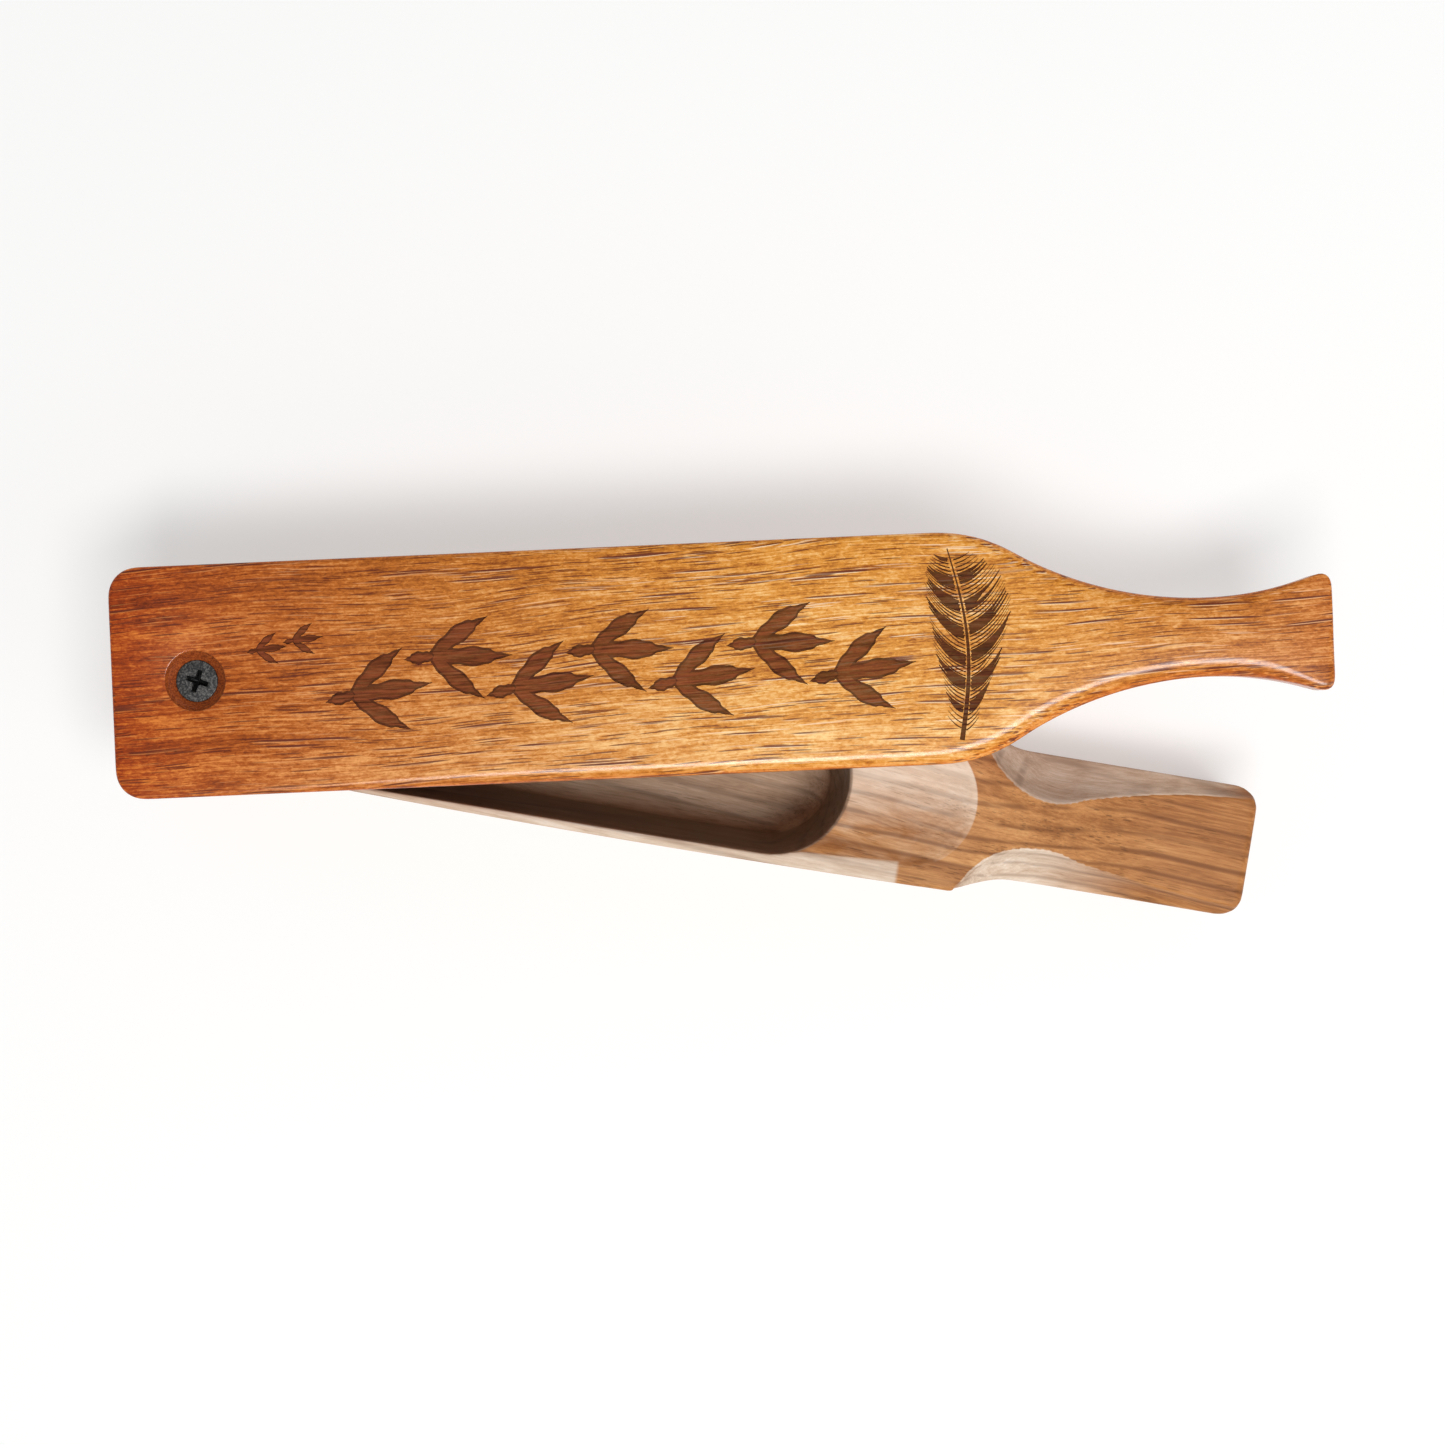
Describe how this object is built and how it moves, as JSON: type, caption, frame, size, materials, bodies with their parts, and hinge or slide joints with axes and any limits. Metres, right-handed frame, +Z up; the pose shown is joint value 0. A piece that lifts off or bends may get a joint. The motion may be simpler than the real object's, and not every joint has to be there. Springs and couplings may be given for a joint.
{
  "type": "paddle box call",
  "caption": "Wooden paddle box call: a milled sound box with a handle, and a flat paddle lid that swings on one sprung screw across the box's thin lips.",
  "frame": {"origin": "on the pivot screw's axis, in the plane of the box's flat base", "axes": "+X along the box from the pivot screw towards its handle, +Z up out of the lid, +Y towards the side that the lid stands open to at rest"},
  "size_m": [0.2416, 0.0822, 0.0509],
  "materials": {
    "walnut": "milled walnut, satin oil outside and on the handle, bare sanded wood in the chamber and scoop",
    "mahogany": "open-pored mahogany with a satin oil finish",
    "black_oxide_steel": "matte black oxide",
    "spring_steel": "drawn spring wire",
    "zinc_plated_steel": "bright zinc plating"
  },
  "bodies": {
    "box": {"sound_box": "walnut", "pivot_screw": "black_oxide_steel"},
    "spring": {"tension_spring": "spring_steel"},
    "lid": {"lid_paddle": "mahogany", "spring_washer": "zinc_plated_steel"}
  },
  "joints": [
    {"name": "lid_swing", "type": "hinge", "parent": "box", "child": "spring", "pos_m": [0, 0, 0.049], "axis": [0, 0, 1], "continuous": true},
    {"name": "lid_lift", "type": "hinge", "parent": "spring", "child": "lid", "pos_m": [0.00411, 0.00087, 0.049], "axis": [0.2062, -0.9785, 0], "range_deg": [0, 3.5], "stiffness_Nm_per_rad": 0.05, "springref_deg": -20.05, "deforming": ["tension_spring"]}
  ]
}
